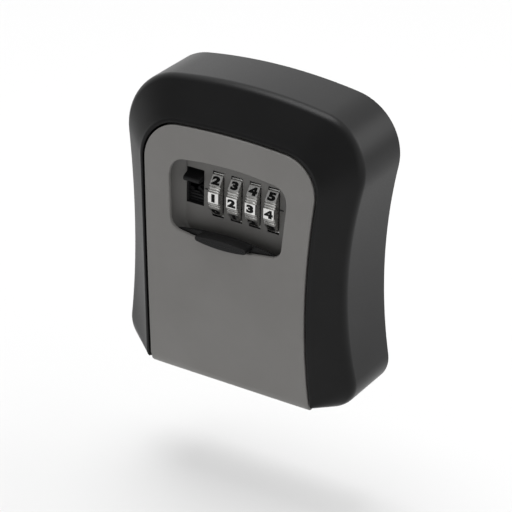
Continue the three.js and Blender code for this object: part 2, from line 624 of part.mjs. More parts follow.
// Coil spring that lifts the latch, drawn as a closed spiral wire.
class Helix extends THREE.Curve {
  getPoint(t, target = new THREE.Vector3()) {
    const turns = 6;
    const a = 2 * Math.PI * turns * t;
    return target.set(2.1 * Math.cos(a), 2.1 * Math.sin(a), 10.4 * t);
  }
}

function latchSpring() {
  const wire = new THREE.Shape().absarc(0, 0, 0.3, 0, 2 * Math.PI, false);
  const geometry = new THREE.ExtrudeGeometry(wire, {
    steps: 42, curveSegments: 3, bevelEnabled: false, extrudePath: new Helix(),
  });
  return solid(geometry);
}

function moduleCover() {
  const c = CASE;
  const y0 = -c.back + FIT;
  const y1 = y0 + COVER_T;
  let cover = box(-c.half, c.half, y0, y1, c.bottom - 1.8, c.top);
  for (const [x, z] of SCREW_PLACES) {
    const side = Math.sign(x);
    const [x0, x1] = [side * (c.half - 3), x].sort((a, b) => a - b);
    cover = join(cover, rodY(3, y0, y1, x, z), box(x0, x1, y0, y1, z - 3, z + 3));
    if (z < c.bottom) {
      const [x2, x3] = [side * (c.half - 4), side * c.half].sort((a, b) => a - b);
      cover = cover.add(box(x2, x3, y0, y1, z - 3, c.bottom));
    }
  }
  for (const [x, z] of SCREW_PLACES) {
    cover = cut(cover, rodY(SCREW_R + RUN, y0 - 1, y0 + 5, x, z), rodY(2.5, y1 - 0.9, y0 + 5, x, z));
  }
  return cut(cover, box(RESET.x - 5.6, RESET.x + 5.6, y0 - 1, y0 + 5, RESET.z - 1.3, RESET.z + 1.3));
}

// Code-change lever: a slide behind the cover with a thumb block through its slot.
function resetLever() {
  const y0 = -CASE.back + FIT;
  const foot = box(RESET.x - 5, RESET.x + 2.6, y0 - 1.5, y0 - FIT, RESET.z - 3, RESET.z + 3);
  const block = box(RESET.x - 4.4, RESET.x - 1.2, y0 - 0.5, y0 + COVER_T + 1.8, RESET.z - 1, RESET.z + 1);
  return join(foot, block);
}

function coverScrew() {
  const y0 = -CASE.back + FIT + COVER_T;
  const head = rodY(2.3, y0 - 0.7, y0 + 0.5, 0, 0);
  const shank = rodY(SCREW_R, -33.8, y0 - 0.6, 0, 0, 12);
  const driver = join(box(-1.3, 1.3, y0, y0 + 2, -0.3, 0.3), box(-0.3, 0.3, y0, y0 + 2, -1.3, 1.3));
  return cut(join(head, shank), driver);
}

// ---------- materials and assembly ----------
function finish(color, roughness, metalness) {
  return new THREE.MeshStandardMaterial({ color, roughness, metalness });
}

const blackPaint = finish(0x1b1b1c, 0.5, 0.2);
const greyPaint = finish(0x6d6b68, 0.5, 0.3);
const blackPlastic = finish(0x141416, 0.6, 0);
const darkZinc = finish(0x2a2a2c, 0.6, 0.4);
const nickel = finish(0x9d9c99, 0.3, 0.9);
const brass = finish(0xb08a4a, 0.35, 0.9);
const steel = finish(0x8f9194, 0.35, 0.9);

function mesh(name, body, material) {
  const { numProp, vertProperties, triVerts } = body.getMesh();
  const positions = new Float32Array((vertProperties.length / numProp) * 3);
  for (let i = 0; i < positions.length / 3; i++) {
    positions.set(vertProperties.subarray(i * numProp, i * numProp + 3), i * 3);
  }
  const geometry = new THREE.BufferGeometry();
  geometry.setAttribute("position", new THREE.BufferAttribute(positions, 3));
  geometry.setIndex(new THREE.BufferAttribute(new Uint32Array(triVerts), 1));
  geometry.computeVertexNormals();
  const made = new THREE.Mesh(geometry, material);
  made.name = name;
  return made;
}

const housing = new THREE.Group();
housing.add(
  mesh("body_shell", bodyShell(), blackPaint),
  mesh("rear_tray", rearTray(), darkZinc),
  mesh("key_hook", keyHook(), steel),
);
const trayScrew = trayScrewBody();
TRAY_SCREW_PLACES.forEach(([x, z], i) => {
  const screw = mesh(`tray_screw_${i + 1}`, trayScrew, steel);
  screw.position.set(x, 0, z);
  housing.add(screw);
});
[["hinge_pin_left", Math.PI], ["hinge_pin_right", 0]].forEach(([name, turn]) => {
  const pin = mesh(name, hingePin(), steel);
  pin.position.set(0, HINGE_Y, HINGE_Z);
  pin.rotation.z = turn;
  housing.add(pin);
});

const door = new THREE.Group();
door.add(
  mesh("door_cover", doorSkin(), greyPaint),
  mesh("lock_case", lockCase(), greyPaint),
  mesh("weather_shutter", shutter(), blackPlastic),
  mesh("dial_spindle", dialSpindle(), steel),
  mesh("detent_spring", detentSpring(), steel),
  mesh("latch_plate", latchPlate(), steel),
  mesh("release_slide", releaseSlide(), blackPlastic),
  mesh("module_cover", moduleCover(), blackPlastic),
  mesh("reset_lever", resetLever(), blackPlastic),
);
const spring = mesh("latch_spring", latchSpring(), steel);
spring.position.set(RELEASE.x, (BOLT.front + BOLT.back) / 2, CASE.bottom + 0.9);
door.add(spring);

const dial = dialWheel();
const sleeve = codeSleeve();
for (let i = 0; i < DIAL_COUNT; i++) {
  const wheel = new THREE.Group();
  wheel.position.set(DIAL_X + i * DIAL_PITCH, DIAL_Y, DIAL_Z);
  wheel.add(mesh(`dial_${i + 1}`, dial, nickel), mesh(`code_sleeve_${i + 1}`, sleeve, brass));
  door.add(wheel);
}

const screwBody = coverScrew();
SCREW_PLACES.forEach(([x, z], i) => {
  const screw = mesh(`cover_screw_${i + 1}`, screwBody, steel);
  screw.position.set(x, 0, z);
  door.add(screw);
});

const lockBox = new THREE.Group();
lockBox.add(housing, door);
lockBox.position.z = -MID_Z; // the origin is the centre of the back face
export default lockBox;
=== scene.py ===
"""Wall key safe: black waisted shell, grey drop-down door, four digit dials behind a sliding shutter."""

import json
import math

import bpy
from mathutils import Matrix, Vector


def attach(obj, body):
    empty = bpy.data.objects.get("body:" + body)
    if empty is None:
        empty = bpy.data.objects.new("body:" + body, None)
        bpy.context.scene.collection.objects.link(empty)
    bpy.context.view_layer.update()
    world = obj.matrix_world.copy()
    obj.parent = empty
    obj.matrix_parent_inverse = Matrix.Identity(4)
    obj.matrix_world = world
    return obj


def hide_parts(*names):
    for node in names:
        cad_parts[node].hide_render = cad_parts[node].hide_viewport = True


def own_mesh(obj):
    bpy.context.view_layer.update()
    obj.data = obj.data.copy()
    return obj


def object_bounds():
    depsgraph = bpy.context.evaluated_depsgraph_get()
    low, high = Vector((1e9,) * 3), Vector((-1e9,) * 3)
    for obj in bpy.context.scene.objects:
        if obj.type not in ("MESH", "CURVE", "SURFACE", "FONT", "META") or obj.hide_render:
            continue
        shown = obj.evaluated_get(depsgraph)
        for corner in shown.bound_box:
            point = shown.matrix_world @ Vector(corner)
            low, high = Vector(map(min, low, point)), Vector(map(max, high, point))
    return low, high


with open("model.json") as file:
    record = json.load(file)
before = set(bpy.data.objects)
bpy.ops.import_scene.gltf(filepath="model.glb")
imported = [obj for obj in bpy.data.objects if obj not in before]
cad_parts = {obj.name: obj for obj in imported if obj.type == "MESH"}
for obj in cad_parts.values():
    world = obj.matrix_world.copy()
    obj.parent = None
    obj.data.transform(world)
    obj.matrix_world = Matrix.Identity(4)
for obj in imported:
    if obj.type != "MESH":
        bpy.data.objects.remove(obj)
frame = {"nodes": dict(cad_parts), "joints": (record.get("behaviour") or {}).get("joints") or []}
cad_low, cad_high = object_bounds()

MM = 0.001
MID = 60.0  # heights below are millimetres above the lowest edge; the origin is mid-height
WALL = 0.0  # the back plane
JOINTS = {joint["name"]: joint for joint in frame["joints"]}

# The crowned front: a cylinder about a level axis far behind the wall.
CROWN_R = 362.5
CROWN_Y = 324.0

HINGE_Y = JOINTS["door_hinge"]["pos_m"][1] / MM
HINGE_Z = JOINTS["door_hinge"]["pos_m"][2] / MM + MID
HINGE_R = 6.8

BODY = dict(top=120, top_r=211, waist_x=45.6, waist_z=53.3, side_r=211,
            bottom=0, bottom_r=480, top_corner=21, bottom_corner=11.8)
DOOR = dict(top=104.5, top_r=272, waist_x=33.6, waist_z=38, side_r=585,
            bottom=0.3, bottom_r=462, top_corner=14.3, bottom_corner=0.8)
SKIN = 1.4
DOOR_WALL = 1.8
DOOR_BACK = -26.4


# ---------- camera ----------
def aim_camera():
    azimuth, elevation, roll = map(math.radians, (31.04, 26.61, 1.39))
    distance = 0.9426
    target = Vector((0, -0.01673, 0))
    back = Vector((math.sin(azimuth) * math.cos(elevation),
                   -math.cos(azimuth) * math.cos(elevation), math.sin(elevation)))
    level = Vector((math.cos(azimuth), math.sin(azimuth), 0))
    upright = back.cross(level)
    right = math.cos(roll) * level + math.sin(roll) * upright
    up = back.cross(right)
    lens = bpy.data.cameras.new("camera")
    lens.sensor_width = 36
    lens.lens = 179.95
    lens.shift_x = 0.0006
    lens.shift_y = -0.0508
    lens.clip_start = 0.05
    camera = bpy.data.objects.new("camera", lens)
    bpy.context.collection.objects.link(camera)
    turn = Matrix((right, up, back)).transposed().to_4x4()
    camera.matrix_world = Matrix.Translation(target + distance * back) @ turn
    bpy.context.scene.camera = camera


aim_camera()


# ---------- finishes ----------
def new_finish(name):
    finish = bpy.data.materials.new(name)
    finish.use_nodes = True
    nodes = finish.node_tree.nodes
    return finish, nodes, finish.node_tree.links, nodes["Principled BSDF"]


def noise(nodes, links, place, scale, detail=3.0, roughness=0.55):
    texture = nodes.new("ShaderNodeTexNoise")
    texture.inputs["Scale"].default_value = scale
    texture.inputs["Detail"].default_value = detail
    texture.inputs["Roughness"].default_value = roughness
    links.new(place, texture.inputs["Vector"])
    return texture.outputs["Fac"]


def ramp(nodes, links, factor, low, high, start=0.3, end=0.7):
    spread = nodes.new("ShaderNodeValToRGB")
    spread.color_ramp.elements[0].position = start
    spread.color_ramp.elements[0].color = (*low, 1)
    spread.color_ramp.elements[1].position = end
    spread.color_ramp.elements[1].color = (*high, 1)
    links.new(factor, spread.inputs["Fac"])
    return spread.outputs["Color"]


def stretch(nodes, links, place, scale):
    mapping = nodes.new("ShaderNodeMapping")
    mapping.inputs["Scale"].default_value = scale
    links.new(place, mapping.inputs["Vector"])
    return mapping.outputs["Vector"]


def spread_roughness(nodes, links, factor, shader, low, high):
    span = nodes.new("ShaderNodeMapRange")
    span.inputs["From Min"].default_value = 0.3
    span.inputs["From Max"].default_value = 0.7
    span.inputs["To Min"].default_value = low
    span.inputs["To Max"].default_value = high
    links.new(factor, span.inputs["Value"])
    links.new(span.outputs["Result"], shader.inputs["Roughness"])


def grain(nodes, links, factor, shader, depth, strength=1.0):
    bump = nodes.new("ShaderNodeBump")
    bump.inputs["Strength"].default_value = strength
    bump.inputs["Distance"].default_value = depth
    links.new(factor, bump.inputs["Height"])
    links.new(bump.outputs["Normal"], shader.inputs["Normal"])


def coated(name, dark, light, rough, grain_scale, grain_depth, ior=1.5):
    """A sprayed coat: slow drift of tone and gloss, and a fine orange-peel grain."""
    finish, nodes, links, shader = new_finish(name)
    place = nodes.new("ShaderNodeTexCoord").outputs["Object"]
    drift = noise(nodes, links, place, 38, 4)
    links.new(ramp(nodes, links, drift, dark, light), shader.inputs["Base Color"])
    peel = noise(nodes, links, place, grain_scale, 2)
    spread_roughness(nodes, links, peel, shader, *rough)
    grain(nodes, links, peel, shader, grain_depth)
    shader.inputs["IOR"].default_value = ior
    return finish


def drawn_metal(name, dark, light, rough, axis_scale, depth=0.000002):
    """Plated or turned metal: fine lines along one direction, and a faint tarnish."""
    finish, nodes, links, shader = new_finish(name)
    place = nodes.new("ShaderNodeTexCoord").outputs["Object"]
    tarnish = noise(nodes, links, place, 260, 4)
    links.new(ramp(nodes, links, tarnish, dark, light), shader.inputs["Base Color"])
    lines = noise(nodes, links, stretch(nodes, links, place, axis_scale), 1, 3)
    spread_roughness(nodes, links, lines, shader, *rough)
    grain(nodes, links, lines, shader, depth)
    shader.inputs["Metallic"].default_value = 1.0
    return finish


BLACK_COAT = coated("black_coat", (0.0065, 0.0065, 0.0067), (0.0085, 0.0085, 0.0087), (0.3, 0.38),
                    2600, 0.000008, ior=1.24)
GREY_COAT = coated("grey_coat", (0.184, 0.179, 0.172), (0.2, 0.195, 0.188), (0.46, 0.54),
                   2900, 0.000012, ior=1.35)
# A darker copy of the door's grey coat: painted shade for the lock's pocket, which lies in shadow behind the
# door's window.
GREY_COAT_PAINTED_SHADE = coated("grey_coat_painted_shade", (0.135, 0.132, 0.127), (0.15, 0.147, 0.141), (0.46, 0.54),
                     2900, 0.000012, ior=1.3)
# The rear tray's own near-black coat; the lock case also wears it on its deep inner faces as painted shade.
TRAY_COAT_AND_PAINTED_SHADE = coated("tray_coat_and_painted_shade", (0.016, 0.016, 0.017), (0.024, 0.024, 0.025), (0.52, 0.66), 1500, 0.00003)
MATT_PLASTIC = coated("matt_plastic", (0.006, 0.006, 0.0063), (0.009, 0.009, 0.0095), (0.36, 0.46),
                      4200, 0.00001, ior=1.26)
DIGIT_INK = coated("digit_ink", (0.003, 0.003, 0.003), (0.005, 0.005, 0.005), (0.5, 0.6),
                   5000, 0.000004, ior=1.2)
NICKEL = drawn_metal("dial_nickel", (0.62, 0.615, 0.6), (0.76, 0.755, 0.74), (0.24, 0.34), (9000, 700, 700))
BRASS = drawn_metal("sleeve_brass", (0.52, 0.36, 0.15), (0.66, 0.47, 0.21), (0.28, 0.4), (9000, 500, 500))
ZINC_PLATE = drawn_metal("zinc_plate", (0.42, 0.43, 0.45), (0.56, 0.57, 0.59), (0.26, 0.4),
                         (600, 600, 5000))
SPRING_STEEL = drawn_metal("spring_steel", (0.33, 0.33, 0.34), (0.46, 0.46, 0.47), (0.25, 0.36),
                           (3000, 3000, 400))


# ---------- shaping ----------
def pick(piece):
    bpy.ops.object.select_all(action="DESELECT")
    piece.select_set(True)
    bpy.context.view_layer.objects.active = piece


def edit(piece, *steps):
    """Runs mesh operators on the whole piece in edit mode."""
    pick(piece)
    bpy.ops.object.mode_set(mode="EDIT")
    bpy.ops.mesh.select_all(action="SELECT")
    for step in steps:
        step()
    bpy.ops.object.mode_set(mode="OBJECT")


def to_metres(point):
    return Vector((point[0] * MM, point[1] * MM, (point[2] - MID) * MM))


def loft(name, rings, closed=False):
    """A circle laid on the first ring, then extruded from ring to ring and closed."""
    count = len(rings[0])
    bpy.ops.object.select_all(action="DESELECT")
    bpy.ops.mesh.primitive_circle_add(vertices=count, radius=0.05)
    piece = bpy.context.object
    piece.name = name
    for vertex, point in zip(piece.data.vertices, rings[0]):
        vertex.co = to_metres(point)
    bpy.ops.object.mode_set(mode="EDIT")
    bpy.ops.mesh.select_all(action="SELECT")
    for before, ring in zip(rings, rings[1:]):
        bpy.ops.mesh.extrude_region_move()
        bpy.ops.object.mode_set(mode="OBJECT")
        moved = {tuple(to_metres(old)): to_metres(new) for old, new in zip(before, ring)}
        lookup = {tuple(round(c, 7) for c in key): value for key, value in moved.items()}
        for vertex in piece.data.vertices:
            if vertex.select:
                vertex.co = lookup[tuple(round(c, 7) for c in vertex.co)]
        bpy.ops.object.mode_set(mode="EDIT")
    if closed:
        bpy.ops.mesh.select_all(action="SELECT")
        bpy.ops.mesh.remove_doubles(threshold=1e-7)
    else:
        bpy.ops.mesh.edge_face_add()
        bpy.ops.mesh.select_all(action="DESELECT")
        bpy.ops.mesh.select_non_manifold()
        bpy.ops.mesh.edge_face_add()
    bpy.ops.mesh.select_all(action="SELECT")
    bpy.ops.mesh.normals_make_consistent(inside=False)
    bpy.ops.object.mode_set(mode="OBJECT")
    return piece


def outline_block(name, outline, y_back, y_front):
    """A front-view outline pushed from y_back to y_front."""
    return loft(name, [[(x, y, z) for x, z in outline] for y in (y_back, y_front)])


def profile_block(name, profile, x0, x1):
    """A side-view profile pushed from x0 to x1."""
    return loft(name, [[(x, y, z) for y, z in profile] for x in (x0, x1)])


def box_block(name, x0, x1, y0, y1, z0, z1):
    return profile_block(name, [(y0, z0), (y1, z0), (y1, z1), (y0, z1)], x0, x1)


def round_bar(name, radius, x0, x1, y, z, sides=48):
    ring = [(y + radius * math.cos(a), z + radius * math.sin(a)) for a in turns(sides)]
    return profile_block(name, ring, x0, x1)


def round_post(name, radius, y0, y1, x, z, sides=32):
    ring = [(x + radius * math.cos(a), z + radius * math.sin(a)) for a in turns(sides)]
    return outline_block(name, ring, y0, y1)


def turns(sides):
    return [2 * math.pi * k / sides for k in range(sides)]


def combine(piece, tool, how="DIFFERENCE"):
    blend = piece.modifiers.new("cut", "BOOLEAN")
    blend.operation = how
    blend.solver = "EXACT"
    blend.object = tool
    pick(piece)
    bpy.ops.object.modifier_apply(modifier=blend.name)
    bpy.data.objects.remove(tool)
    return piece


def join(piece, tool):
    return combine(piece, tool, "UNION")


def keep_inside(piece, tool):
    return combine(piece, tool, "INTERSECT")


def soften(piece, width, segments=3, angle=32):
    """Cleans coplanar facets, rounds the sharp edges and smooths the rest."""
    edit(piece,
         lambda: bpy.ops.mesh.remove_doubles(threshold=2e-6),
         lambda: bpy.ops.mesh.dissolve_limited(angle_limit=math.radians(0.2)))
    if width:
        round_over = piece.modifiers.new("round", "BEVEL")
        round_over.width = width * MM
        round_over.segments = segments
        round_over.limit_method = "ANGLE"
        round_over.angle_limit = math.radians(angle)
        round_over.use_clamp_overlap = False
        round_over.miter_outer = "MITER_ARC"
        bpy.ops.object.modifier_apply(modifier=round_over.name)
    bpy.ops.object.shade_smooth_by_angle(angle=math.radians(angle))
    weigh = piece.modifiers.new("weigh", "WEIGHTED_NORMAL")
    weigh.keep_sharp = True
    bpy.ops.object.modifier_apply(modifier=weigh.name)
    return piece


def fit(piece, body, finish, slot, *nodes):
    """Gives a piece its finish, its body and the CAD nodes that it stands for."""
    piece.data.materials.clear()
    piece.data.materials.append(finish)
    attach(piece, body)
    if nodes:
        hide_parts(*nodes)


def rounded_copy(node, name, body, finish, slot, width):
    """A frame part's own shape with its facets merged and its edges eased."""
    piece = frame["nodes"][node].copy()
    piece.data = frame["nodes"][node].data.copy()
    piece.name = name
    bpy.context.collection.objects.link(piece)
    piece.parent = None
    piece.matrix_world = Matrix.Identity(4)
    soften(piece, width)
    fit(piece, body, finish, slot, node)
    return piece


# ---------- outlines ----------
def crown_depth(z, inset=0.0):
    """Distance from the wall to the crowned front at height z."""
    return math.sqrt((CROWN_R - inset) ** 2 - (z - MID) ** 2) - CROWN_Y


def inset(o, d):
    return dict(o, top=o["top"] - d, top_r=o["top_r"] - d, waist_x=o["waist_x"] - d,
                side_r=o["side_r"] + d, bottom=o["bottom"] + d, bottom_r=o["bottom_r"] - d,
                top_corner=max(o["top_corner"] - d, 0.5),
                bottom_corner=max(o["bottom_corner"] - d, 0.5))


def corner_centre(long_z, long_r, side_x, side_z, side_r, r, up):
    """Centre of the corner arc inside a long arc and outside a hollow side arc."""
    reach = math.hypot(side_x, side_z - long_z)
    along = ((long_r - r) ** 2 - (side_r + r) ** 2 + reach ** 2) / (2 * reach)
    across = math.sqrt((long_r - r) ** 2 - along ** 2)
    ux, uz = side_x / reach, (side_z - long_z) / reach
    return along * ux - up * across * uz, long_z + along * uz + up * across * ux


def arc(cx, cz, r, start, end, steps):
    return [(cx + r * math.cos(start + (end - start) * k / steps),
             cz + r * math.sin(start + (end - start) * k / steps)) for k in range(steps)]


def waisted(o):
    """Closed outline of eight tangent arcs, the same number of points each time."""
    top_z = o["top"] - o["top_r"]
    low_z = o["bottom"] + o["bottom_r"]
    side_x = o["waist_x"] + o["side_r"]
    high = corner_centre(top_z, o["top_r"], side_x, o["waist_z"], o["side_r"], o["top_corner"], 1)
    low = corner_centre(low_z, o["bottom_r"], side_x, o["waist_z"], o["side_r"], o["bottom_corner"], -1)
    high_long = math.atan2(high[1] - top_z, high[0])
    high_side = math.atan2(o["waist_z"] - high[1], side_x - high[0])
    low_long = math.atan2(low[1] - low_z, low[0])
    low_side = math.atan2(o["waist_z"] - low[1], side_x - low[0])
    half = arc(0, low_z, o["bottom_r"], -math.pi / 2, low_long, 10)
    half += arc(*low, o["bottom_corner"], low_long, low_side, 12)
    half += arc(side_x, o["waist_z"], o["side_r"], low_side + math.pi, high_side + math.pi, 24)
    half += arc(*high, o["top_corner"], high_side, high_long, 16)
    half += arc(0, top_z, o["top_r"], high_long, math.pi / 2, 12)
    crest = [(0, o["top"])]
    return half + crest + [(-x, z) for x, z in reversed(half[1:])]


def mixed(first, second, share):
    return [(a[0] + (b[0] - a[0]) * share, a[1] + (b[1] - a[1]) * share) for a, b in zip(first, second)]


def on_crown(outline, depth):
    return [(x, -(crown_depth(z) - depth), z) for x, z in outline]


def at_depth(outline, y):
    return [(x, y, z) for x, z in outline]


OPENING = inset(DOOR, -0.8)


# ---------- housing ----------
SHOULDER_DEPTH, SHOULDER_R, BAND, LIP = 9.4, 4.0, 13.9, 1.2
SHELL_WALL, FLANGE, TRAY_FRONT = 2.2, 1.8, 24
TRAY_SCREWS = ((-41.5, 18), (41.5, 18), (-27, 111.4), (27, 111.4))


def shell_skin(name, skin, bend_steps):
    """Outer surface of the housing from the wall to its lip, or the same moved inwards by skin."""
    outer = waisted(inset(BODY, skin))
    rim = waisted(dict(inset(OPENING, -FLANGE if skin else 0), bottom=2.2 + skin))
    turn = math.pi / 2 - math.atan2(SHOULDER_DEPTH, BAND - LIP)
    start = SHOULDER_DEPTH + SHOULDER_R * math.tan(turn / 2)
    if skin:
        rings = [at_depth(outer, 1)]
    else:
        rings = [at_depth(waisted(inset(BODY, 0.35)), WALL), at_depth(waisted(inset(BODY, 0.1)), -0.1)]
        rings += [at_depth(outer, -y) for y in (0.35, 8, 16)]
    across = [(SHOULDER_R * (1 - math.cos(turn * k / bend_steps)) / BAND,
               start - SHOULDER_R * math.sin(turn * k / bend_steps)) for k in range(bend_steps + 1)]
    high_share, high_depth = across[-1]
    lip_share = 1 - (LIP + 0.75) / BAND
    across += [(high_share + (lip_share - high_share) * k / 6, high_depth + (1.05 - high_depth) * k / 6)
               for k in range(1, 7)]
    across += [(1 - (LIP + 0.35) / BAND, 0.68), (1 - LIP / BAND, 0.4), (1 - (LIP - 0.35) / BAND, 0.25),
               (1 - (LIP - 0.7) / BAND, 0.2), (1.15, 0.2)]
    rings += [on_crown(mixed(outer, rim, share), depth + skin * 1.1) for share, depth in across]
    rings.append(at_depth(waisted(dict(inset(OPENING, 5), bottom=9)), -28 + 4 * skin))
    return loft(name, rings)


def make_shell():
    shell = shell_skin("shell_casting", 0, 8)
    hollow = shell_skin("hollow", SHELL_WALL, 3)
    combine(hollow, outline_block("flange", waisted(inset(OPENING, -FLANGE)), -TRAY_FRONT - 0.3, -61))
    for side in (-1, 1):
        ends = sorted((side * 35.1, side * 40.5))
        combine(hollow, round_bar("pin_boss", 3.4, *ends, HINGE_Y, HINGE_Z))
    for x, z in TRAY_SCREWS:
        combine(hollow, round_post("screw_boss", 3.4, -2.8, -36, x, z))
    combine(shell, hollow)
    combine(shell, outline_block("opening", waisted(dict(OPENING, bottom=3.8)), 2, -62))
    swing = [(HINGE_Y + 7.3 * math.cos(a), HINGE_Z + 7.3 * math.sin(a))
             for a in [math.pi * (1 - k / 32) for k in range(49)]]
    sweep = profile_block("sweep", [(-60, HINGE_Z)] + swing + [(HINGE_Y, -5), (-60, -5)], -40, 40)
    keep_inside(sweep, outline_block("gate", waisted(dict(OPENING, bottom=-4)), 1, -61))
    combine(shell, sweep)
    combine(shell, round_bar("pin_hole", 1.6, -39.5, 39.5, HINGE_Y, HINGE_Z))
    for x, z in TRAY_SCREWS:
        combine(shell, round_post("screw_hole", 1.6, 1, -14, x, z))
    soften(shell, 0.3, 3, 40)
    fit(shell, "housing", BLACK_COAT, "black_paint", "body_shell")


make_shell()


# ---------- door ----------
def door_front(z):
    """Distance from the wall to the door's front: the crown, then the round foot about the hinge."""
    if z >= HINGE_Z:
        return crown_depth(z)
    return -HINGE_Y + math.sqrt(max(HINGE_R ** 2 - (HINGE_Z - z) ** 2, 0))


def on_door(outline, depth):
    return [(x, -(door_front(z) - depth), z) for x, z in outline]


def inner_profile(y_back, top):
    """Side view of the hollow in the door, its skin's thickness inside the front."""
    r = CROWN_R - SKIN
    foot = HINGE_R - SKIN
    profile = [(y_back, top), (y_back, HINGE_Z), (HINGE_Y + foot, HINGE_Z)]
    profile += arc(HINGE_Y, HINGE_Z, foot, -0.02, -math.pi + 0.16, 28)
    low = math.pi + math.asin((MID - HINGE_Z) / r)
    high = math.pi - math.asin((top - MID) / r)
    profile += arc(CROWN_Y, MID, r, low, high, 30)
    profile.append((CROWN_Y + r * math.cos(high), top))
    return profile


def cast_ray(outline, centre, angle):
    """Where the ray from the centre at this angle leaves a closed outline."""
    dx, dz = math.cos(angle), math.sin(angle)
    best = None
    for (x0, z0), (x1, z1) in zip(outline, outline[1:] + outline[:1]):
        ex, ez = x1 - x0, z1 - z0
        across = dx * ez - dz * ex
        if abs(across) < 1e-12:
            continue
        px, pz = x0 - centre[0], z0 - centre[1]
        reach = (px * ez - pz * ex) / across
        share = (px * dz - pz * dx) / across
        if reach > 0 and -1e-9 <= share <= 1 + 1e-9:
            best = max(best or 0, reach)
    return centre[0] + dx * best, centre[1] + dz * best


def paired(outer, inner, centre):
    """Both outlines with points at the same angles seen from the centre."""
    angles = sorted(math.atan2(z - centre[1], x - centre[0]) for x, z in outer + inner)
    kept = [angles[0]]
    for angle in angles[1:]:
        if angle - kept[-1] > 0.004:
            kept.append(angle)
    return [cast_ray(outer, centre, a) for a in kept], [cast_ray(inner, centre, a) for a in kept]


def curve_points(start, control, end, steps):
    points = []
    for k in range(steps):
        t = k / steps
        points.append(tuple((1 - t) ** 2 * a + 2 * t * (1 - t) * b + t * t * c
                            for a, b, c in zip(start, control, end)))
    return points


def window_outline():
    low_half, high_half, r, crest, low, bottom = 23.45, 24.75, 7.5, 92.75, 63.4, 61.6
    shoulder = crest - 1.4 - r
    half = curve_points((0, bottom), (low_half * 0.43, bottom), (low_half - 3.4, low), 12)
    half += curve_points((low_half - 3.4, low), (low_half, low + 1.1), (low_half + 0.2, low + 4.5), 10)
    half.append((low_half + 0.2, low + 4.5))
    half += curve_points((high_half, shoulder), (high_half, crest - 1.4), (high_half - r, crest - 1.2), 12)
    half += curve_points((high_half - r, crest - 1.2), (high_half * 0.35, crest - 0.1), (0, crest - 0.1), 8)
    return half + [(0, crest - 0.1)] + [(-x, z) for x, z in reversed(half[1:])]


SCREW_PLACES = ((-28.8, 62), (28.8, 62), (-28.8, 93.5), (28.8, 93.5))


def make_door():
    centre = (0, 77.4)
    edge, brim = 0.5, 0.55
    frame_line, window_line = paired(waisted(DOOR), window_outline(), centre)
    inner_line = [cast_ray(waisted(inset(DOOR, edge)), centre, math.atan2(z - centre[1], x - centre[0]))
                  for x, z in frame_line]
    away = [math.hypot(x - centre[0], z - centre[1]) for x, z in window_line]
    brim_line = [(centre[0] + (x - centre[0]) * (1 + brim / d), centre[1] + (z - centre[1]) * (1 + brim / d))
                 for (x, z), d in zip(window_line, away)]
    rings = [at_depth(frame_line, DOOR_BACK), on_door(frame_line, edge)]
    for k in range(1, 5):
        turn = k / 4 * math.pi / 2
        rings.append(on_door(mixed(frame_line, inner_line, 1 - math.cos(turn)), edge * (1 - math.sin(turn))))
    for share in (0.008, 0.02, 0.035, 0.055, 0.08, 0.11, 0.15, 0.25, 0.4, 0.6, 0.8, 1):
        rings.append(on_door(mixed(inner_line, brim_line, share), 0))
    for k in range(1, 5):
        turn = k / 4 * math.pi / 2
        rings.append(on_door(mixed(brim_line, window_line, math.sin(turn)), brim * (1 - math.cos(turn))))
    rings.append(on_door(window_line, 3.5))
    door = loft("door_cover_casting", rings)
    hollow = outline_block("hollow", waisted(dict(inset(DOOR, DOOR_WALL), bottom=-3)), -12, -61)
    keep_inside(hollow, profile_block("inner", inner_profile(DOOR_BACK + 3, 111), -51, 51))
    combine(door, hollow)
    combine(door, box_block("foot_trim", -51, 51, HINGE_Y + 1.5, 1, -1, HINGE_Z - 0.2))
    for side in (-1, 1):
        ends = sorted((side * 27, side * 33))
        lug = round_bar("lug", 3.4, *ends, HINGE_Y, HINGE_Z)
        join(lug, box_block("web", ends[0] + 0.01, ends[1] - 0.01, -33.4, HINGE_Y, 4.2, HINGE_Z + 3.2))
        join(door, lug)
    for x, z in SCREW_PLACES:
        join(door, round_post("post", 2.6, -crown_depth(z) + 0.5, -30.5, x, z))
        combine(door, round_post("screw_hole", 1.5, -34.5, -20, x, z))
    combine(door, round_bar("pin_hole", 1.6, -40, 40, HINGE_Y, HINGE_Z))
    soften(door, 0, angle=35)
    fit(door, "door", GREY_COAT, "grey_paint", "door_cover")


make_door()


# ---------- lock ----------
DIAL_R, DIAL_W, DIAL_PITCH, FACES = 10.65, 4.4, 7.82, 10
DIAL_X = JOINTS["dial_spin_1"]["pos_m"][0] / MM
DIAL_Y = JOINTS["dial_spin_1"]["pos_m"][1] / MM
DIAL_Z = JOINTS["dial_spin_1"]["pos_m"][2] / MM + MID
SLOT_W, SLOT_HALF = 4.9, 9.1
SLIDE_X = -17.05
CASE_HALF, CASE_LOW, CASE_TOP, CASE_BACK = 26, 65.2, 97.2, -11.6
CASE_FACE = 2.85
POCKET_DEPTH = 6.55  # below the crown, level with the dials
FLOOR_Y = -(crown_depth(DIAL_Z) - POCKET_DEPTH)
SCOOP_R, SCOOP_TOP, SCOOP_LEAN = 173, 68.5, 0.25
SLIDE_SLOT_HALF, SLIDE_SLOT_LOW, SLIDE_SLOT_TOP = 3.7, 72.1, 86.4
POCKET_HALF, POCKET_LOW, POCKET_TOP, POCKET_ROLL = 25.5, 60.4, 95.4, 4.9
SHUTTER_HALF = 25.8


def crown_profile(depth, y_back, z0, z1, steps=24):
    heights = [z0 + (z1 - z0) * k / steps for k in range(steps + 1)]
    return [(y_back, z1), (y_back, z0)] + [(-crown_depth(z, depth), z) for z in heights]


def crown_block(name, depth, y_back, z0, z1, half):
    """Everything behind the crowned front, inset below it, between two heights."""
    return profile_block(name, crown_profile(depth, y_back, z0, z1), -half, half)


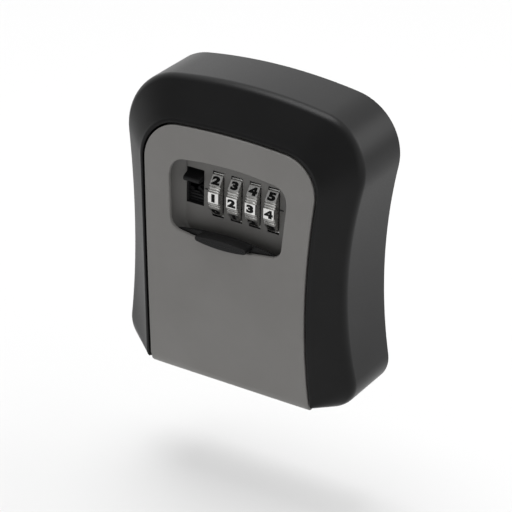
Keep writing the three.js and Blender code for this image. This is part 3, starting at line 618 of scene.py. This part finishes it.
def pocket_outline(half, low, high, r):
    quarter = math.pi / 2
    corners = [(half - r, low + r, -quarter), (half - r, high - r, 0),
               (r - half, high - r, quarter), (r - half, low + r, 2 * quarter)]
    return [point for x, z, a in corners for point in arc(x, z, r, a, a + quarter * 0.999, 12)]


def make_pocket():
    """The room in front of the dials: rolled sides down to a flat floor, and a scoop under the dials."""
    rings = []
    for k in range(9):
        turn = k / 8 * math.pi / 2
        shrink = POCKET_ROLL * (1 - math.cos(turn))
        half = POCKET_HALF - shrink
        outline = pocket_outline(half, POCKET_LOW, POCKET_TOP - shrink / 2, 7.5 - shrink * 0.5)
        depth = CASE_FACE + (POCKET_DEPTH - CASE_FACE) * math.sin(turn)
        rings.append(on_crown(outline, depth))
    first = pocket_outline(POCKET_HALF, POCKET_LOW, POCKET_TOP, 7.5)
    floor = [(x, FLOOR_Y, z) for x, y, z in rings[-1]]
    pocket = loft("pocket", [at_depth(first, -60)] + rings[:-1] + [floor])
    tilt = math.atan(SCOOP_LEAN)
    lean = Matrix.Translation(to_metres((0, FLOOR_Y, SCOOP_TOP))) @ Matrix.Rotation(-tilt, 4, "X")
    bpy.ops.object.select_all(action="DESELECT")
    bpy.ops.mesh.primitive_cylinder_add(vertices=360, radius=SCOOP_R * MM, depth=60 * MM)
    scoop = bpy.context.object
    scoop.data.transform(lean @ Matrix.Translation((0, -SCOOP_R * MM, 0)))
    keep_inside(scoop, box_block("reach", -23.5, 23.5, -60, 0, POCKET_LOW - 0.01, SCOOP_TOP + 1))
    return join(pocket, scoop)


def on_scoop(point):
    """Whether a point of the case lies on the scoop under the dials."""
    z = point.z / MM + MID
    surface = FLOOR_Y + SCOOP_LEAN * (SCOOP_TOP - z)
    return z < SCOOP_TOP + 0.1 and abs(point.y / MM - surface) < 0.6


def make_lock_case():
    inside = CASE_HALF - 2
    case = crown_block("lock_case_casting", CASE_FACE, CASE_BACK, CASE_LOW - 1.8, CASE_TOP, CASE_HALF + 0.6)
    join(case, crown_block("brow", CASE_FACE, -28, POCKET_LOW - 1.4, CASE_LOW, CASE_HALF + 0.59))
    apron = crown_block("apron", CASE_FACE, -20, 35.2, POCKET_LOW, SHUTTER_HALF + 0.8)
    combine(apron, crown_block("apron_back", CASE_FACE + 1.5, -10, 20, CASE_LOW + 5, 60))
    join(case, apron)
    for side in (-1, 1):
        ends = sorted((side * (SHUTTER_HALF + 0.3), side * (SHUTTER_HALF + 2.4)))
        rail = profile_block("rail", crown_profile(1.7, -26, 35.21, CASE_TOP - 0.01), *ends)
        combine(rail, crown_block("rail_back", CASE_FACE + 1.5, -10, 20, CASE_LOW - 1.8, 60))
        join(case, rail)
    for x, z in SCREW_PLACES:
        combine(case, round_post("post_room", 2.9, -60, -30.2, x, z))
        join(case, round_post("ear", 2.6, -30.2, CASE_BACK - 0.01, x, z))
        web = sorted((math.copysign(CASE_HALF - 1, x), x))
        join(case, box_block("web", *web, -30.19, CASE_BACK - 0.02, z - 1.2, z + 1.2))
    combine(case, make_pocket())
    behind, roof = FLOOR_Y + 1.6, CASE_TOP - 2
    combine(case, box_block("hollow_high", -inside, inside, behind, CASE_BACK - 0.6, SCOOP_TOP, roof))
    combine(case, box_block("hollow_low", -inside, inside, -29.3, CASE_BACK + 1, CASE_LOW + 0.4, roof))
    combine(case, box_block("slide_room", SLIDE_X - 4.8, SLIDE_X + 4.8, behind, -20, 66.1, roof))
    for k in range(4):
        x0 = DIAL_X + k * DIAL_PITCH - SLOT_W / 2
        slot = box_block("slot", x0, x0 + SLOT_W, -60, FLOOR_Y + 3, DIAL_Z - SLOT_HALF, DIAL_Z + SLOT_HALF)
        combine(case, slot)
        combine(case, round_bar("dial_room", DIAL_R + 0.6, x0, x0 + SLOT_W, DIAL_Y, DIAL_Z, 80))
    slot_ends = (SLIDE_X - SLIDE_SLOT_HALF, SLIDE_X + SLIDE_SLOT_HALF)
    combine(case, box_block("slide_slot", *slot_ends, -60, FLOOR_Y + 3, SLIDE_SLOT_LOW, SLIDE_SLOT_TOP))
    bolt_ends = (SLIDE_X - 3.6, SLIDE_X + 3.6)
    combine(case, box_block("bolt_slot", *bolt_ends, -24, -20.4, CASE_TOP - 3, CASE_TOP + 1))
    join(case, box_block("bearing", -11.6, -10.2, FLOOR_Y + 1, -21, DIAL_Z - 5.2, DIAL_Z + 5.2))
    combine(case, round_bar("spindle_hole", 1.6, -12.6, CASE_HALF - 0.8, DIAL_Y, DIAL_Z))
    for x, z in SCREW_PLACES:
        combine(case, round_post("screw_hole", 1.5, -40, 0, x, z))
    soften(case, 0, angle=30)
    # The lock case wears the darker copy of the door's grey, painted shade for its pocket.
    fit(case, "door", GREY_COAT_PAINTED_SHADE, "grey_paint", "lock_case")
    # Faces deeper than the pocket floor, in the slots and behind them, get the near-black coat as painted
    # shade; the scoop under the dials keeps the door's own lighter grey.
    case.data.materials.append(TRAY_COAT_AND_PAINTED_SHADE)
    case.data.materials.append(GREY_COAT)
    for face in case.data.polygons:
        if on_scoop(face.center):
            face.material_index = 2
        elif face.center.y > (FLOOR_Y + 0.3) * MM:
            face.material_index = 1


make_lock_case()


def shutter_outline():
    radius, top = 105, 65.6
    spread = math.asin(SHUTTER_HALF / radius)
    crest = arc(0, top - radius, radius, math.pi / 2 - spread, math.pi / 2 + spread, 32)
    left = (-SHUTTER_HALF, top - radius + radius * math.cos(spread))
    return [(-SHUTTER_HALF, 35.6), (SHUTTER_HALF, 35.6)] + crest + [left]


def tab_outline():
    half, bottom, top = 10.9, 62.05, 65.5
    end = half - 1.2
    side = curve_points((0, bottom), (end / 2, bottom), (end, bottom + 0.8), 8)
    side += curve_points((end, bottom + 0.8), (half, bottom + 0.95), (half, bottom + 2), 6)
    side += curve_points((half, bottom + 2), (half, top - 0.6), (end, top - 0.5), 6)
    side += curve_points((end, top - 0.5), (end / 2, top), (0, top), 8)
    return side + [(0, top)] + [(-x, z) for x, z in reversed(side[1:])]


def make_shutter():
    """A thin curved plate on the door's crown with a finger tab along its upper edge."""
    plate = crown_block("shutter_moulding", 1.65, -20, 20, 80, 60)
    combine(plate, crown_block("plate_back", 2.55, -19, 10, 90, 61))
    keep_inside(plate, outline_block("plate_edge", shutter_outline(), -1, -61))
    tab = outline_block("tab", tab_outline(), -36.2, -61)
    keep_inside(tab, crown_block("tab_front", -3, -20, 50, 80, 60))
    combine(tab, crown_block("tab_root", 2.1, -19, 49, 81, 61))
    join(plate, tab)
    soften(plate, 0.22, 3, 35)
    fit(plate, "shutter", MATT_PLASTIC, "black_plastic", "weather_shutter")


make_shutter()


def make_latch_coil():
    """The latch's coil spring, a softened copy with a mesh of its own."""
    coil = rounded_copy("latch_spring", "latch_coil", "door", SPRING_STEEL, "steel", 0)
    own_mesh(coil)


rounded_copy("release_slide", "thumb_slide_moulding", "latch", MATT_PLASTIC, "black_plastic", 0.12)
rounded_copy("rear_tray", "rear_tray_casting", "housing", TRAY_COAT_AND_PAINTED_SHADE, "zinc_dark", 0.2)
rounded_copy("module_cover", "module_cover_moulding", "door", MATT_PLASTIC, "black_plastic", 0.2)
rounded_copy("reset_lever", "reset_lever_moulding", "reset", MATT_PLASTIC, "black_plastic", 0.12)
rounded_copy("latch_plate", "latch_stamping", "latch", ZINC_PLATE, "steel", 0.1)
rounded_copy("key_hook", "key_peg", "housing", ZINC_PLATE, "steel", 0.1)
rounded_copy("dial_spindle", "spindle_rod", "door", ZINC_PLATE, "steel", 0.15)
rounded_copy("detent_spring", "detent_leaf", "door", SPRING_STEEL, "steel", 0)
make_latch_coil()
for k in range(1, 5):
    rounded_copy(f"tray_screw_{k}", f"tray_screw_head_{k}", "housing", ZINC_PLATE, "steel", 0.12)
    rounded_copy(f"cover_screw_{k}", f"cover_screw_head_{k}", "door", ZINC_PLATE, "steel", 0.12)
    rounded_copy(f"code_sleeve_{k}", f"sleeve_turning_{k}", f"dial_wheel_{k}", BRASS, "brass", 0.1)
for side in ("left", "right"):
    rounded_copy(f"hinge_pin_{side}", f"pivot_pin_{side}", "housing", ZINC_PLATE, "steel", 0.15)


# ---------- dials ----------
TENTH = 2 * math.pi / FACES


def dial_outline(y, z):
    """Ten flats with two low ribs between neighbours."""
    points = []
    half = 0.31 * TENTH
    corner = math.hypot(DIAL_R, math.tan(half) * DIAL_R)
    ribs = ((0.33, -0.7), (0.375, -0.7), (0.39, -0.05), (0.41, 0.1), (0.435, 0.1), (0.455, -0.05),
            (0.47, -0.7), (0.53, -0.7), (0.545, -0.05), (0.565, 0.1), (0.59, 0.1), (0.61, -0.05),
            (0.625, -0.7), (0.67, -0.7))
    for k in range(FACES):
        middle = math.pi + k * TENTH
        spots = [(middle - half, corner), (middle + half, corner)]
        spots += [(middle + TENTH * share, DIAL_R + rise) for share, rise in ribs]
        points += [(y + r * math.cos(a), z + r * math.sin(a)) for a, r in spots]
    return points


def digit_meshes():
    """Each numeral once, upright on the plane it will be printed on, centred on the origin."""
    shapes = []
    for digit in range(10):
        bpy.ops.object.select_all(action="DESELECT")
        bpy.ops.object.text_add()
        text = bpy.context.object
        text.data.body = str(digit)
        text.data.align_x = "CENTER"
        text.data.align_y = "CENTER"
        text.data.size = 5.0 * MM
        text.data.offset = 0.36 * MM
        text.data.extrude = 0.03 * MM
        text.data.resolution_u = 6
        bpy.ops.object.convert(target="MESH")
        shape = bpy.context.object
        low = [min(v.co[i] for v in shape.data.vertices) for i in range(3)]
        high = [max(v.co[i] for v in shape.data.vertices) for i in range(3)]
        centre = Vector([(a + b) / 2 for a, b in zip(low, high)])
        fitted = 3.25 * MM / (high[1] - low[1])
        wide = fitted * 1.55
        for vertex in shape.data.vertices:
            spot = vertex.co - centre
            vertex.co = Vector((spot.x * wide, -spot.z, spot.y * fitted))
        shapes.append(shape)
    return shapes


def make_dials():
    numerals = digit_meshes()
    for k in range(4):
        centre = (DIAL_X + k * DIAL_PITCH, DIAL_Y, DIAL_Z)
        place = Matrix.Translation(to_metres(centre))
        body = f"dial_wheel_{k + 1}"
        rim = profile_block(f"dial_rim_{k + 1}", dial_outline(*centre[1:]),
                            centre[0] - DIAL_W / 2, centre[0] + DIAL_W / 2)
        combine(rim, round_bar("bore", 4.0, centre[0] - 5, centre[0] + 5, *centre[1:]))
        soften(rim, 0.1, 2, 25)
        fit(rim, body, NICKEL, "nickel", f"dial_{k + 1}")
        copies = []
        for step in range(FACES):
            source = numerals[(k + 1 + step) % 10]
            numeral = source.copy()
            numeral.data = source.data.copy()
            bpy.context.collection.objects.link(numeral)
            lift = Matrix.Translation((0, -DIAL_R * MM, 0))
            turn = Matrix.Rotation(-step * TENTH, 4, "X")
            numeral.data.transform(place @ turn @ lift)
            copies.append(numeral)
        bpy.ops.object.select_all(action="DESELECT")
        for numeral in copies:
            numeral.select_set(True)
        bpy.context.view_layer.objects.active = copies[0]
        bpy.ops.object.join()
        digits = bpy.context.object
        digits.name = f"dial_digits_{k + 1}"
        fit(digits, body, DIGIT_INK, "nickel")
    for shape in numerals:
        bpy.data.objects.remove(shape)


make_dials()


def make_marks():
    """Short engraved strokes on the lock's face, level with the row that is read."""
    for name, x0, x1 in (("reading_mark_left", -12.9, -11.7), ("reading_mark_right", 18.7, 20.4)):
        mark = box_block(name, x0, x1, FLOOR_Y - 0.02, FLOOR_Y + 0.2, DIAL_Z + 0.7, DIAL_Z + 1.2)
        fit(mark, "door", DIGIT_INK, "grey_paint")


make_marks()


# ---------- setting ----------
FLOOR_DROP = 0.045


def make_floor():
    """The floor lies low enough for the open door to swing clear of it."""
    bpy.ops.object.select_all(action="DESELECT")
    bpy.ops.mesh.primitive_plane_add(size=8, location=(0, 0, cad_low.z - FLOOR_DROP))
    floor = bpy.context.object
    floor.name = "floor"
    finish, nodes, links, shader = new_finish("floor_white")
    shader.inputs["Base Color"].default_value = (0.42, 0.42, 0.42, 1)
    shader.inputs["Roughness"].default_value = 0.9
    shader.inputs["Emission Color"].default_value = (1, 1, 1, 1)
    shader.inputs["Emission Strength"].default_value = 0.34
    floor.data.materials.append(finish)


def soft_light(name, place, size, power):
    lamp = bpy.data.lights.new(name, "AREA")
    lamp.shape = "DISK"
    lamp.size = size
    lamp.energy = power
    light = bpy.data.objects.new(name, lamp)
    bpy.context.collection.objects.link(light)
    light.location = place
    light.rotation_euler = (-Vector(place)).to_track_quat("-Z", "Y").to_euler()


def make_room():
    """A pale room, dimmer in the part that faces the door from above."""
    room = bpy.data.worlds.new("room")
    room.use_nodes = True
    nodes, links = room.node_tree.nodes, room.node_tree.links
    direction = nodes.new("ShaderNodeTexCoord").outputs["Generated"]
    facing = nodes.new("ShaderNodeVectorMath")
    facing.operation = "DOT_PRODUCT"
    facing.inputs[1].default_value = Vector((-0.2, -0.8, 0.5)).normalized()
    links.new(direction, facing.inputs[0])
    dim = nodes.new("ShaderNodeMapRange")
    dim.interpolation_type = "SMOOTHSTEP"
    for label, value in (("From Min", 0.1), ("From Max", 0.75), ("To Min", 1.35), ("To Max", 0.3)):
        dim.inputs[label].default_value = value
    links.new(facing.outputs["Value"], dim.inputs["Value"])
    links.new(dim.outputs["Result"], nodes["Background"].inputs["Strength"])
    nodes["Background"].inputs["Color"].default_value = (1, 1, 1, 1)
    bpy.context.scene.world = room


make_floor()
make_room()
soft_light("overhead", (-0.25, 0.05, 1.4), 0.9, 15)
soft_light("behind_right", (0.9, 0.9, 0.6), 0.8, 4)
soft_light("front_fill", (-0.1, -1.3, 0.05), 0.8, 2.2)
bpy.context.scene.view_settings.view_transform = "Standard"
